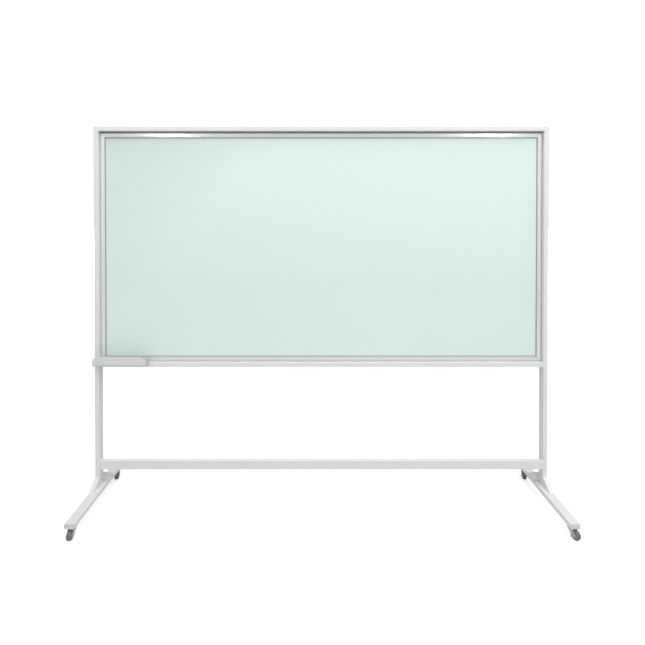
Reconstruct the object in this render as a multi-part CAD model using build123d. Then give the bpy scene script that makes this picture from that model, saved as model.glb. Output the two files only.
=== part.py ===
from build123d import *
import math
import os

# Rolling glass whiteboard: a welded tube frame on two floor feet with four swivel casters.
# Millimetres. +Z is up, X runs along the board, and the writing side faces -Y.
# The origin is on the floor, under the middle of the whole object.

# ---- driving dimensions ----
OVERALL_WIDTH = 2500.0
OVERALL_HEIGHT = 2066.0

TUBE_THIN = 25.0          # narrow side of every frame tube
TUBE_WIDE = 50.0          # wide side of every frame tube
TUBE_WALL = 1.5
TUBE_CORNER = 3.0         # outside corner radius of the tube section

BOARD_OPENING_HEIGHT = 1275.0   # clear height between the middle rail and the top rail
BOARD_RECESS = 25.0             # board frame's face behind the tube's front face
BOARD_SIDE_GAP = 2.0            # board frame to upright
BOARD_BOTTOM_GAP = 2.0          # board frame to middle rail
BOARD_TOP_GAP = 9.0             # board frame to top rail, for lifting the board in

PROFILE_FACE = 22.0       # visible width of the aluminium board frame
PROFILE_WALL = 1.5
PROFILE_LIP = 6.0         # depth of the hollow lip in front of the glass
PROFILE_BACK = 14.0       # width of the flange behind the board
GASKET_THICKNESS = 1.5
GASKET_SHOW = 5.0         # how far the gasket reaches past the lip
GLASS_THICKNESS = 4.0
CORE_THICKNESS = 8.0
BACK_SHEET_THICKNESS = 0.7
BOARD_EDGE_GAP = 2.0      # board's edge to the wall of the frame's groove
SETTING_BLOCK_LENGTH = 100.0
CORNER_KEY_ARM = 60.0
CORNER_KEY_PLAY = 0.2

STRIP_WIDTH = 20.0        # flat bar that the board is screwed to from behind
STRIP_THICKNESS = 3.0
BOARD_SCREW_RADIUS = 2.0
BOARD_SCREW_LENGTH = 9.0
BOARD_SCREW_HEAD_RADIUS = 4.0
BOARD_SCREW_HEAD = 2.4
BOARD_SCREW_EDGE = 8.0    # screw's distance inside the board frame's outer edge
BOARD_SCREWS_ALONG = 5
BOARD_SCREWS_UP = 3

CROSSBAR_RISE = 89.0      # foot's top face to the crossbar's underside
CROSSBAR_BLOCK = 20.0     # length of the threaded block in each end of the crossbar
CROSSBAR_BOLT_RADIUS = 4.0
CROSSBAR_BOLT_LENGTH = 18.0
CROSSBAR_BOLT_HEAD_RADIUS = 6.5
CROSSBAR_BOLT_HEAD = 8.0
CROSSBAR_BOLT_SPACING = 26.0
PLUG_RADIUS = 8.0

FOOT_LENGTH = 600.0       # with its end caps
FRONT_REACH = 328.0       # foot's front end to the upright's front face
FOOT_CAP_PLATE = 3.0
FOOT_CAP_PLUG = 12.0
CAP_CORNER = 2.0
GUSSET_LENGTH = 80.0
GUSSET_HEIGHT = 50.0
GUSSET_WALL = 1.5
GUSSET_BEND = 2.5         # outside radius where the sloped face turns into the sides

TRAY_LENGTH = 290.0       # with its end caps
TRAY_REACH = 50.0         # how far the tray stands in front of the tubes
TRAY_INSET = 11.0         # tray's end inside the upright's outer face
TRAY_LIP = 45.0
TRAY_LIP_CUT_LENGTH = 28.0
TRAY_LIP_CUT_HEIGHT = 14.0
TRAY_FLANGE = 20.0        # tray's flange that hangs in front of the middle rail
TRAY_WALL = 2.0
TRAY_BEND = 1.5           # outside bend radius
TRAY_CAP_PLATE = 3.0
TRAY_CAP_RIB = 8.0        # rib's length under the tray's floor
TRAY_CAP_RIB_HEIGHT = 6.0
TRAY_SCREW_RADIUS = 2.0
TRAY_SCREW_LENGTH = 12.0
TRAY_SCREW_HEAD_RADIUS = 4.0
TRAY_SCREW_HEAD = 2.4
TRAY_SCREW_SPACING = 150.0

WHEEL_DIAMETER = 46.0
TYRE_WIDTH = 20.0
TYRE_WALL = 6.0           # tyre's thickness over the hub's rim
TYRE_SHOULDER = 3.5
HUB_RIM = 3.0             # thickness of the hub's rim
HUB_RIM_WIDTH = 18.0
HUB_WEB = 8.0
HUB_BOSS_RADIUS = 7.0
HUB_RING_RADIUS = 11.0    # raised ring on each side of the web
HUB_RING = 1.5
HUB_RING_RISE = 1.5
HUB_SIDE_PLAY = 0.5       # hub's boss to each fork leg
FORK_LEG_GAP = 25.0       # clear width between the fork's legs
FORK_SHEET = 2.0
FORK_CROWN_LENGTH = 28.0
FORK_CROWN_SKIRT = 6.0
FORK_EYE_RADIUS = 9.0
CASTER_TRAIL = 22.0       # swivel axis to wheel axle
WHEEL_TOP_GAP = 2.5       # wheel to the underside of the fork's crown
RACE_RADIUS = 18.0
RACE_THICKNESS = 1.7
BALL_DIAMETER = 3.0
BALL_CIRCLE_RADIUS = 14.0
BALL_COUNT = 12
SWIVEL_GAP = 0.3          # gap between parts that swivel past each other
FLANGE_RADIUS = 22.0
FLANGE_THICKNESS = 2.5
FLANGE_SKIRT = 2.8
KINGPIN_RADIUS = 4.0
KINGPIN_HEAD_RADIUS = 7.0
KINGPIN_HEAD = 2.5
STUD_RADIUS = 5.0
STUD_LENGTH = 18.0
AXLE_RADIUS = 3.0
AXLE_HEAD_RADIUS = 5.0
AXLE_HEAD = 1.8
RUNNING_CLEARANCE = 0.05  # radial, for a shaft that turns in its hole
FIXED_CLEARANCE = 0.2     # radial, for a bolt in its hole
CASTER_INSET = 33.0       # swivel axis inside the foot's end
WELD_NUT_FLATS = 17.0
WELD_NUT_HEIGHT = 8.0

# Where each caster stands at rest: side (-1 is -X), end (-1 is the front), and how far its
# trailing wheel is turned about the swivel axis, in degrees.
CASTERS = {
    "front_left": (-1, -1, 0.0),
    "front_right": (1, -1, 21.0),
    "rear_left": (-1, 1, 12.0),
    "rear_right": (1, 1, -12.0),
}

# ---- heights and places worked out from them ----
half_width = OVERALL_WIDTH / 2
wheel_radius = WHEEL_DIAMETER / 2
crown_bottom = WHEEL_DIAMETER + WHEEL_TOP_GAP
crown_top = crown_bottom + FORK_SHEET
race_top = crown_top + RACE_THICKNESS
flange_bottom = race_top + BALL_DIAMETER + SWIVEL_GAP
foot_bottom = flange_bottom + FLANGE_THICKNESS
foot_top = foot_bottom + TUBE_THIN
crossbar_bottom = foot_top + CROSSBAR_RISE
crossbar_top = crossbar_bottom + TUBE_WIDE

# The front wheels stand out past the feet, so the feet sit that much to the rear.
front_overhang = CASTER_TRAIL + wheel_radius - CASTER_INSET
foot_front = -FOOT_LENGTH / 2 + front_overhang / 2
foot_rear = foot_front + FOOT_LENGTH
tube_front = foot_front + FRONT_REACH
tube_rear = tube_front + TUBE_WIDE
tube_middle = (tube_front + tube_rear) / 2
inner_face = half_width - TUBE_THIN
foot_centre = half_width - TUBE_WIDE / 2

top_rail_bottom = OVERALL_HEIGHT - TUBE_THIN
middle_rail_top = top_rail_bottom - BOARD_OPENING_HEIGHT
middle_rail_bottom = middle_rail_top - TUBE_THIN

board_half_width = inner_face - BOARD_SIDE_GAP
board_bottom = middle_rail_top + BOARD_BOTTOM_GAP
board_top = top_rail_bottom - BOARD_TOP_GAP
board_height = board_top - board_bottom
board_middle = (board_top + board_bottom) / 2
board_face = tube_front + BOARD_RECESS
gasket_front = board_face + PROFILE_LIP
glass_front = gasket_front + GASKET_THICKNESS
core_front = glass_front + GLASS_THICKNESS
sheet_front = core_front + CORE_THICKNESS
groove_back = sheet_front + BACK_SHEET_THICKNESS
profile_back = groove_back + PROFILE_WALL
profile_depth = profile_back - board_face
strip_back = profile_back + STRIP_THICKNESS
panel_edge = PROFILE_WALL + BOARD_EDGE_GAP


# ---- building blocks ----
def block(x, y, z):
    """Box between two values on each axis."""
    size = (x[1] - x[0], y[1] - y[0], z[1] - z[0])
    return Pos(x[0], y[0], z[0]) * Box(*size, align=(Align.MIN, Align.MIN, Align.MIN))


def rod(radius, start, length, axis):
    """Cylinder that starts at a point and runs along an axis, such as (0, 0, 1)."""
    return extrude(Plane(origin=start, z_dir=axis) * Circle(radius), length)


def prism_xz(points, y):
    """Outline of (x, z) points, carried along Y."""
    outline = Plane.XZ.offset(-y[0]) * Polygon(*points, align=None)
    return extrude(outline, y[1] - y[0], dir=(0, 1, 0))


def prism_yz(points, x):
    """Outline of (y, z) points, carried along X."""
    outline = Plane.YZ.offset(x[0]) * Polygon(*points, align=None)
    return extrude(outline, x[1] - x[0], dir=(1, 0, 0))


def tube(plane, across, deep, length):
    """Rectangular tube with rounded corners, along the plane's normal from its origin."""
    inside_corner = TUBE_CORNER - TUBE_WALL
    outside = RectangleRounded(across, deep, TUBE_CORNER)
    inside = RectangleRounded(across - 2 * TUBE_WALL, deep - 2 * TUBE_WALL, inside_corner)
    return extrude(plane * (outside - inside), length)


def along_x(x, y, z):
    """Plane at a point, whose normal is +X and whose own x is Y."""
    return Plane(origin=(x, y, z), x_dir=(0, 1, 0), z_dir=(1, 0, 0))


def along_y(x, y, z):
    """Plane at a point, whose normal is +Y and whose own x is X."""
    return Plane(origin=(x, y, z), x_dir=(1, 0, 0), z_dir=(0, 1, 0))


# ---- steel frame ----
def upright(side):
    """Tube from the foot to the mitred top corner."""
    base = Plane(origin=(side * (half_width - TUBE_THIN / 2), tube_middle, foot_top))
    post = tube(base, TUBE_THIN, TUBE_WIDE, OVERALL_HEIGHT - foot_top)
    outer, inner = side * half_width, side * inner_face
    mitre = [(outer, foot_top), (inner, foot_top), (inner, top_rail_bottom), (outer, OVERALL_HEIGHT)]
    post = post & prism_xz(mitre, (tube_front, tube_rear))
    for bolt_z in crossbar_bolt_heights():
        inner_wall = (side * (inner_face + TUBE_WALL), crossbar_bolt_y(), bolt_z)
        outer_wall = (side * (half_width - TUBE_WALL), crossbar_bolt_y(), bolt_z)
        post -= rod(CROSSBAR_BOLT_RADIUS + FIXED_CLEARANCE, inner_wall, TUBE_WALL, (-side, 0, 0))
        post -= rod(PLUG_RADIUS, outer_wall, TUBE_WALL, (side, 0, 0))
    return post


def top_rail():
    """Tube across the top, mitred into both uprights."""
    middle_z = OVERALL_HEIGHT - TUBE_THIN / 2
    rail = tube(along_x(-half_width, tube_middle, middle_z), TUBE_WIDE, TUBE_THIN, OVERALL_WIDTH)
    mitre = [
        (-half_width, OVERALL_HEIGHT),
        (half_width, OVERALL_HEIGHT),
        (inner_face, top_rail_bottom),
        (-inner_face, top_rail_bottom),
    ]
    return rail & prism_xz(mitre, (tube_front, tube_rear))


def middle_rail():
    """Tube under the board, between the uprights, drilled for the tray's screws."""
    middle_z = middle_rail_top - TUBE_THIN / 2
    rail = tube(along_x(-inner_face, tube_middle, middle_z), TUBE_WIDE, TUBE_THIN, 2 * inner_face)
    for x in tray_screw_places():
        rail -= rod(TRAY_SCREW_RADIUS, (x, tube_front, tray_screw_z()), TUBE_WALL, (0, 1, 0))
    return rail


def bottom_crossbar():
    """Tube on edge, low between the uprights and flush with their fronts."""
    middle_z = (crossbar_bottom + crossbar_top) / 2
    start = along_x(-inner_face, crossbar_bolt_y(), middle_z)
    return tube(start, TUBE_THIN, TUBE_WIDE, 2 * inner_face)


def crossbar_bolt_y():
    return tube_front + TUBE_THIN / 2


def crossbar_bolt_heights():
    middle = (crossbar_bottom + crossbar_top) / 2
    return [middle - CROSSBAR_BOLT_SPACING / 2, middle + CROSSBAR_BOLT_SPACING / 2]


def crossbar_end_blocks():
    """Threaded blocks inside both ends of the crossbar."""
    inside_corner = TUBE_CORNER - TUBE_WALL
    section = RectangleRounded(TUBE_THIN - 2 * TUBE_WALL, TUBE_WIDE - 2 * TUBE_WALL, inside_corner)
    middle_z = (crossbar_bottom + crossbar_top) / 2
    blocks = []
    for side in (-1, 1):
        start = side * inner_face - (CROSSBAR_BLOCK if side > 0 else 0)
        piece = extrude(along_x(start, crossbar_bolt_y(), middle_z) * section, CROSSBAR_BLOCK)
        for bolt_z in crossbar_bolt_heights():
            mouth = (side * inner_face, crossbar_bolt_y(), bolt_z)
            piece -= rod(CROSSBAR_BOLT_RADIUS, mouth, CROSSBAR_BLOCK, (-side, 0, 0))
        blocks.append(piece)
    return blocks


def crossbar_bolts():
    """Cap screws inside the uprights, through the inner wall into the end blocks."""
    bolts = []
    for side in (-1, 1):
        for bolt_z in crossbar_bolt_heights():
            seat = (side * (inner_face + TUBE_WALL), crossbar_bolt_y(), bolt_z)
            shank = rod(CROSSBAR_BOLT_RADIUS, seat, CROSSBAR_BOLT_LENGTH, (-side, 0, 0))
            head = rod(CROSSBAR_BOLT_HEAD_RADIUS, seat, CROSSBAR_BOLT_HEAD, (side, 0, 0))
            socket_start = (side * (inner_face + TUBE_WALL + CROSSBAR_BOLT_HEAD), crossbar_bolt_y(), bolt_z)
            socket = RegularPolygon(CROSSBAR_BOLT_RADIUS * 0.75, 6, major_radius=False)
            recess = extrude(Plane(origin=socket_start, z_dir=(-side, 0, 0)) * socket, CROSSBAR_BOLT_HEAD / 2)
            bolts.append(shank + head - recess)
    return bolts


def access_hole_plugs():
    """Flush plastic plugs in the uprights' outer walls, over the crossbar bolts."""
    plugs = []
    for side in (-1, 1):
        for bolt_z in crossbar_bolt_heights():
            start = (side * (half_width - TUBE_WALL), crossbar_bolt_y(), bolt_z)
            plugs.append(rod(PLUG_RADIUS, start, TUBE_WALL, (side, 0, 0)))
    return plugs


# ---- floor feet ----
def foot_tube(side):
    """Tube lying flat from front to rear, flush with the upright's outer face."""
    middle_z = (foot_bottom + foot_top) / 2
    start = along_y(side * foot_centre, foot_front + FOOT_CAP_PLATE, middle_z)
    foot = tube(start, TUBE_WIDE, TUBE_THIN, FOOT_LENGTH - 2 * FOOT_CAP_PLATE)
    for end in (-1, 1):
        hole = (side * foot_centre, caster_y(end), foot_bottom)
        foot -= rod(STUD_RADIUS + FIXED_CLEARANCE, hole, TUBE_WALL, (0, 0, 1))
    return foot


def gusset(side, end):
    """Folded steel box wedge on the foot: as thin as the upright in front, as wide as the foot behind."""
    root = tube_front if end < 0 else tube_rear
    slope = math.hypot(GUSSET_LENGTH, GUSSET_HEIGHT)
    inner_length = GUSSET_LENGTH - GUSSET_WALL * slope / GUSSET_HEIGHT
    inner_height = GUSSET_HEIGHT - GUSSET_WALL * slope / GUSSET_LENGTH
    width = TUBE_THIN if end < 0 else TUBE_WIDE
    left = -half_width if side < 0 else half_width - width
    closed = 0 if end < 0 else GUSSET_WALL  # the rear one is wider than the upright, so it has its own face

    def wedge(length, height, inset, start=0):
        near = root + end * start
        points = [(near, foot_top), (root + end * length, foot_top),
                  (near, foot_top + height * (1 - start / length))]
        return prism_yz(points, (left + inset, left + width - inset))

    outside = wedge(GUSSET_LENGTH, GUSSET_HEIGHT, 0)
    bends = [edge for edge in outside.edges() if abs(edge.length - slope) < 0.01]
    outside = fillet(bends, GUSSET_BEND)
    return outside - wedge(inner_length, inner_height, GUSSET_WALL, closed)


def foot_end_caps():
    """Plastic caps pressed into the ends of the feet."""
    middle_z = (foot_bottom + foot_top) / 2
    plate = RectangleRounded(TUBE_WIDE, TUBE_THIN, TUBE_CORNER)
    bore = (TUBE_WIDE - 2 * TUBE_WALL, TUBE_THIN - 2 * TUBE_WALL)
    plug = RectangleRounded(*bore, TUBE_CORNER - TUBE_WALL)
    caps = []
    for side in (-1, 1):
        for end in (-1, 1):
            outside = foot_front if end < 0 else foot_rear
            face = Plane(origin=(side * foot_centre, outside, middle_z), x_dir=(1, 0, 0), z_dir=(0, -end, 0))
            cap = extrude(face * plate, FOOT_CAP_PLATE)
            cap = fillet(cap.faces().sort_by(Axis.Y)[0 if end < 0 else -1].edges(), CAP_CORNER)
            cap += extrude(face.offset(FOOT_CAP_PLATE) * plug, FOOT_CAP_PLUG)
            caps.append(cap)
    return caps


def weld_nuts():
    """Hexagon nuts welded inside the feet, for the casters' studs."""
    nuts = []
    for side, end, _ in CASTERS.values():
        base = Plane(origin=(side * foot_centre, caster_y(end), foot_bottom + TUBE_WALL))
        hexagon = RegularPolygon(WELD_NUT_FLATS / 2, 6, major_radius=False)
        nuts.append(extrude(base * (hexagon - Circle(STUD_RADIUS)), WELD_NUT_HEIGHT))
    return nuts


# ---- glass board in its aluminium frame ----
def profile_member(length):
    """Mitred length of board frame: outer edge on z = 0, front on y = 0, centred on x = 0."""
    groove_front, groove_rear = PROFILE_LIP, profile_depth - PROFILE_WALL
    outline = [
        (0, 0),
        (0, PROFILE_FACE),
        (PROFILE_LIP, PROFILE_FACE),
        (groove_front, PROFILE_WALL),
        (groove_rear, PROFILE_WALL),
        (groove_rear, PROFILE_BACK),
        (profile_depth, PROFILE_BACK),
        (profile_depth, 0),
    ]
    hollow = [
        (PROFILE_WALL, PROFILE_WALL),
        (PROFILE_WALL, PROFILE_FACE - PROFILE_WALL),
        (PROFILE_LIP - PROFILE_WALL, PROFILE_FACE - PROFILE_WALL),
        (PROFILE_LIP - PROFILE_WALL, PROFILE_WALL),
    ]
    half = length / 2
    bar = prism_yz(outline, (-half, half)) - prism_yz(hollow, (-half, half))
    ends = [(-half, 0), (half, 0), (half - PROFILE_FACE, PROFILE_FACE), (PROFILE_FACE - half, PROFILE_FACE)]
    return bar & prism_xz(ends, (0, profile_depth))


def board_frame():
    """The four mitred members, drilled from behind for the board's screws."""
    width = 2 * board_half_width
    members = {
        "board_frame_bottom": Pos(0, board_face, board_bottom) * profile_member(width),
        "board_frame_top": Pos(0, board_face, board_top) * Rot(0, 180, 0) * profile_member(width),
        "board_frame_left": Pos(-board_half_width, board_face, board_middle)
        * Rot(0, 90, 0)
        * profile_member(board_height),
        "board_frame_right": Pos(board_half_width, board_face, board_middle)
        * Rot(0, -90, 0)
        * profile_member(board_height),
    }
    return {name: drilled(member, name.split("_")[-1], groove_back) for name, member in members.items()}


def board_screw_places():
    """Screw centres (x, z) on each side of the board."""
    edge_x = board_half_width - BOARD_SCREW_EDGE
    low, high = board_bottom + BOARD_SCREW_EDGE, board_top - BOARD_SCREW_EDGE
    step_x = 2 * board_half_width / BOARD_SCREWS_ALONG
    step_z = board_height / BOARD_SCREWS_UP
    along = [-board_half_width + step_x * (i + 0.5) for i in range(BOARD_SCREWS_ALONG)]
    up = [board_bottom + step_z * (i + 0.5) for i in range(BOARD_SCREWS_UP)]
    return {
        "bottom": [(x, low) for x in along],
        "top": [(x, high) for x in along],
        "left": [(-edge_x, z) for z in up],
        "right": [(edge_x, z) for z in up],
    }


def drilled(piece, side, front, extra=0.0):
    """A piece with holes for the board's screws on one side, from its front to the strips' back."""
    for x, z in board_screw_places()[side]:
        piece -= rod(BOARD_SCREW_RADIUS + extra, (x, front, z), strip_back - front, (0, 1, 0))
    return piece


def panel(front, thickness):
    """Flat sheet as large as the groove holds."""
    half = board_half_width - panel_edge
    heights = (board_bottom + panel_edge, board_top - panel_edge)
    return block((-half, half), (front, front + thickness), heights)


def drilled_panel(front, thickness):
    sheet = panel(front, thickness)
    screw_tip = strip_back - BOARD_SCREW_LENGTH
    for side in board_screw_places():
        sheet = drilled(sheet, side, max(front, screw_tip))
    return sheet


def glass_gasket():
    """Four black strips between the lip and the glass, which show past the lip."""
    outer_x = board_half_width - panel_edge
    low, high = board_bottom + panel_edge, board_top - panel_edge
    width = PROFILE_FACE + GASKET_SHOW - panel_edge
    depth = (gasket_front, glass_front)
    sides = (low + width, high - width)
    return [
        block((-outer_x, outer_x), depth, (low, low + width)),
        block((-outer_x, outer_x), depth, (high - width, high)),
        block((-outer_x, -outer_x + width), depth, sides),
        block((outer_x - width, outer_x), depth, sides),
    ]


def setting_blocks():
    """Two rubber blocks in the bottom groove, which carry the glass and its core."""
    floor = board_bottom + PROFILE_WALL
    depth = (glass_front, sheet_front)
    quarter = board_half_width / 2
    half = SETTING_BLOCK_LENGTH / 2
    return [block((x - half, x + half), depth, (floor, floor + BOARD_EDGE_GAP)) for x in (-quarter, quarter)]


def corner_keys():
    """Flat steel angles inside the hollow lip, which hold the mitres together."""
    outside = PROFILE_WALL + CORNER_KEY_PLAY
    inside = PROFILE_FACE - PROFILE_WALL - CORNER_KEY_PLAY
    depth = (board_face + PROFILE_WALL, board_face + PROFILE_LIP - PROFILE_WALL)
    keys = []
    for side in (-1, 1):
        for edge, into in ((board_bottom, 1), (board_top, -1)):

            def corner(u, v):
                return (side * (board_half_width - u), edge + into * v)

            outline = [
                corner(outside, outside),
                corner(CORNER_KEY_ARM, outside),
                corner(CORNER_KEY_ARM, inside),
                corner(inside, inside),
                corner(inside, CORNER_KEY_ARM),
                corner(outside, CORNER_KEY_ARM),
            ]
            keys.append(prism_xz(outline, depth))
    return keys


def stop_strips():
    """Flat bars welded inside the tube frame, behind the board."""
    depth = (profile_back, strip_back)
    lower, upper = middle_rail_top + STRIP_WIDTH, top_rail_bottom - STRIP_WIDTH
    inside = inner_face - STRIP_WIDTH
    strips = {
        "bottom": block((-inner_face, inner_face), depth, (middle_rail_top, lower)),
        "top": block((-inner_face, inner_face), depth, (upper, top_rail_bottom)),
        "left": block((-inner_face, -inside), depth, (lower, upper)),
        "right": block((inside, inner_face), depth, (lower, upper)),
    }
    return {
        f"stop_strip_{side}": drilled(strip, side, profile_back, FIXED_CLEARANCE)
        for side, strip in strips.items()
    }


def board_screws():
    """Pan-head screws through the strips into the board frame."""
    screws = []
    for places in board_screw_places().values():
        for x, z in places:
            shank = rod(BOARD_SCREW_RADIUS, (x, strip_back, z), BOARD_SCREW_LENGTH, (0, -1, 0))
            head = rod(BOARD_SCREW_HEAD_RADIUS, (x, strip_back, z), BOARD_SCREW_HEAD, (0, 1, 0))
            head = fillet(head.faces().sort_by(Axis.Y)[-1].edges(), BOARD_SCREW_HEAD / 2)
            screws.append(shank + head)
    return screws


# ---- pen tray ----
tray_left = -half_width + TRAY_INSET
tray_right = tray_left + TRAY_LENGTH
tray_front = tube_front - TRAY_REACH
tray_floor = middle_rail_top
tray_lip_end = TRAY_LIP - TRAY_LIP_CUT_HEIGHT


def tray_screw_z():
    return tray_floor - TRAY_FLANGE / 2


def tray_screw_places():
    middle = (tray_left + tray_right) / 2
    return [middle - TRAY_SCREW_SPACING / 2, middle + TRAY_SCREW_SPACING / 2]


def pen_tray():
    """Bent sheet: a flange down the rail, a floor, and a tall lip with cut corners."""
    outline = [
        (tube_front, tray_floor - TRAY_FLANGE),
        (tube_front, tray_floor + TRAY_WALL),
        (tray_front + TRAY_WALL, tray_floor + TRAY_WALL),
        (tray_front + TRAY_WALL, tray_floor + TRAY_LIP),
        (tray_front, tray_floor + TRAY_LIP),
        (tray_front, tray_floor),
        (tube_front - TRAY_WALL, tray_floor),
        (tube_front - TRAY_WALL, tray_floor - TRAY_FLANGE),
    ]
    left, right = tray_left + TRAY_CAP_PLATE, tray_right - TRAY_CAP_PLATE
    tray = prism_yz(outline, (left, right))
    bend = tray.edges().filter_by(Axis.X).sort_by_distance((0, tray_front, tray_floor))[0]
    tray = fillet(bend, TRAY_BEND)
    top, low = tray_floor + TRAY_LIP, tray_floor + tray_lip_end
    for end, into in ((left, 1), (right, -1)):
        cut = [(end, top), (end + into * TRAY_LIP_CUT_LENGTH, top), (end, low)]
        tray -= prism_xz(cut, (tray_front, tray_front + TRAY_WALL))
    for x in tray_screw_places():
        start = (x, tube_front - TRAY_WALL, tray_screw_z())
        tray -= rod(TRAY_SCREW_RADIUS + FIXED_CLEARANCE, start, TRAY_WALL, (0, 1, 0))
    return tray


def tray_end_cap(side):
    """Plastic plate over one end of the tray, with a rib that hooks under the floor."""
    outside = tray_left if side < 0 else tray_right
    plate_inside = outside - side * TRAY_CAP_PLATE
    rib_end = plate_inside - side * TRAY_CAP_RIB
    low, high = tray_floor - TRAY_CAP_RIB_HEIGHT, tray_floor + tray_lip_end
    plate = block(sorted_pair(outside, plate_inside), (tray_front, tube_front), (low, high))
    front_corner = plate.edges().filter_by(Axis.X).sort_by_distance((outside, tray_front, low))[0]
    plate = fillet(front_corner, TRAY_CAP_RIB_HEIGHT / 2)
    back_corner = plate.edges().filter_by(Axis.X).sort_by_distance((outside, tube_front, high))[0]
    plate = fillet(back_corner, tray_lip_end / 2)
    rib_depth = (tray_front + TRAY_WALL, tube_front - TRAY_WALL)
    return plate + block(sorted_pair(plate_inside, rib_end), rib_depth, (low, tray_floor))


def sorted_pair(a, b):
    return (min(a, b), max(a, b))


def tray_screws():
    screws = []
    for x in tray_screw_places():
        seat = (x, tube_front - TRAY_WALL, tray_screw_z())
        shank = rod(TRAY_SCREW_RADIUS, seat, TRAY_SCREW_LENGTH, (0, 1, 0))
        head = rod(TRAY_SCREW_HEAD_RADIUS, seat, TRAY_SCREW_HEAD, (0, -1, 0))
        head = fillet(head.faces().sort_by(Axis.Y)[0].edges(), TRAY_SCREW_HEAD / 2)
        screws.append(shank + head)
    return screws


# ---- casters, each built on its own swivel axis with the wheel trailing to -Y ----
def caster_y(end):
    return foot_front + CASTER_INSET if end < 0 else foot_rear - CASTER_INSET


def ring(outer, inner, z):
    """Flat ring about the swivel axis, between two heights."""
    return extrude(Plane.XY.offset(z[0]) * (Circle(outer) - Circle(inner)), z[1] - z[0])


def caster_stem():
    """Stud, upper race with its skirt, and the kingpin with its riveted head."""
    stem = rod(FLANGE_RADIUS, (0, 0, flange_bottom), FLANGE_THICKNESS, (0, 0, 1))
    skirt_inside = FLANGE_RADIUS - TUBE_WALL
    stem += ring(FLANGE_RADIUS, skirt_inside, (flange_bottom - FLANGE_SKIRT, flange_bottom))
    stem += rod(STUD_RADIUS, (0, 0, foot_bottom), STUD_LENGTH, (0, 0, 1))
    head_top = crown_bottom - SWIVEL_GAP
    stem += rod(KINGPIN_RADIUS, (0, 0, head_top), flange_bottom - head_top, (0, 0, 1))
    stem += rod(KINGPIN_HEAD_RADIUS, (0, 0, head_top - KINGPIN_HEAD), KINGPIN_HEAD, (0, 0, 1))
    return stem


def caster_fork():
    """Pressed sheet: two legs, a crown, and the lower race."""
    leg_inside = FORK_LEG_GAP / 2
    leg_outside = leg_inside + FORK_SHEET
    half_crown = FORK_CROWN_LENGTH / 2
    skirt_middle = crown_top - FORK_CROWN_SKIRT / 2
    skirt = Pos(0, skirt_middle) * Rectangle(FORK_CROWN_LENGTH, FORK_CROWN_SKIRT)
    eye = Pos(-CASTER_TRAIL, wheel_radius) * Circle(FORK_EYE_RADIUS)
    leg = extrude(Plane.YZ * make_hull(skirt.edges() + eye.edges()), FORK_SHEET)
    fork = Pos(leg_inside, 0, 0) * leg + Pos(-leg_outside, 0, 0) * leg
    fork += block((-leg_outside, leg_outside), (-half_crown, half_crown), (crown_bottom, crown_top))
    fork = fillet(crown_bends(fork), FORK_SHEET)
    fork += rod(RACE_RADIUS, (0, 0, crown_top), RACE_THICKNESS, (0, 0, 1))
    fork -= rod(KINGPIN_RADIUS + RUNNING_CLEARANCE, (0, 0, crown_bottom), race_top - crown_bottom, (0, 0, 1))
    axle_start = (-leg_outside, -CASTER_TRAIL, wheel_radius)
    return fork - rod(AXLE_RADIUS, axle_start, 2 * leg_outside, (1, 0, 0))


def crown_bends(fork):
    """The two long outside edges where the crown turns down into the legs."""
    top = fork.edges().filter_by(Axis.Y).filter_by_position(Axis.Z, crown_top - 0.01, crown_top + 0.01)
    return [edge for edge in top if abs(edge.center().X) > FORK_LEG_GAP / 2 + FORK_SHEET / 2]


def caster_balls():
    """Ring of balls that run on the lower race."""
    middle = race_top + BALL_DIAMETER / 2
    balls = []
    for i in range(BALL_COUNT):
        turn = math.radians(360 * i / BALL_COUNT)
        place = (BALL_CIRCLE_RADIUS * math.cos(turn), BALL_CIRCLE_RADIUS * math.sin(turn), middle)
        balls.append(Pos(*place) * Sphere(BALL_DIAMETER / 2))
    return balls


def caster_axle():
    """Rivet through both legs, with a flat head outside each."""
    leg_outside = FORK_LEG_GAP / 2 + FORK_SHEET
    start = (-leg_outside, -CASTER_TRAIL, wheel_radius)
    axle = rod(AXLE_RADIUS, start, 2 * leg_outside, (1, 0, 0))
    for side in (-1, 1):
        seat = (side * leg_outside, -CASTER_TRAIL, wheel_radius)
        head = rod(AXLE_HEAD_RADIUS, seat, AXLE_HEAD, (side, 0, 0))
        outer = head.faces().sort_by(Axis.X)[0 if side < 0 else -1]
        axle += fillet(outer.edges(), AXLE_HEAD / 2)
    return axle


def wheel_ring(outer, inner, width):
    """Ring about the axle, centred on the wheel."""
    middle = along_x(-width / 2, -CASTER_TRAIL, wheel_radius)
    return extrude(middle * (Circle(outer) - Circle(inner)), width)


def caster_hub():
    """Plastic wheel centre: rim, web with a raised ring on each side, and boss."""
    rim_radius = wheel_radius - TYRE_WALL
    bore = AXLE_RADIUS + RUNNING_CLEARANCE
    hub = wheel_ring(rim_radius, rim_radius - HUB_RIM, HUB_RIM_WIDTH)
    hub += wheel_ring(rim_radius, bore, HUB_WEB)
    hub += wheel_ring(HUB_RING_RADIUS, HUB_RING_RADIUS - HUB_RING, HUB_WEB + 2 * HUB_RING_RISE)
    return hub + wheel_ring(HUB_BOSS_RADIUS, bore, FORK_LEG_GAP - 2 * HUB_SIDE_PLAY)


def caster_tyre():
    """Rubber tyre with round shoulders."""
    tyre = wheel_ring(wheel_radius, wheel_radius - TYRE_WALL, TYRE_WIDTH)
    shoulders = [edge for edge in tyre.edges().filter_by(GeomType.CIRCLE) if edge.radius > wheel_radius - 0.01]
    return fillet(shoulders, TYRE_SHOULDER)


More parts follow.
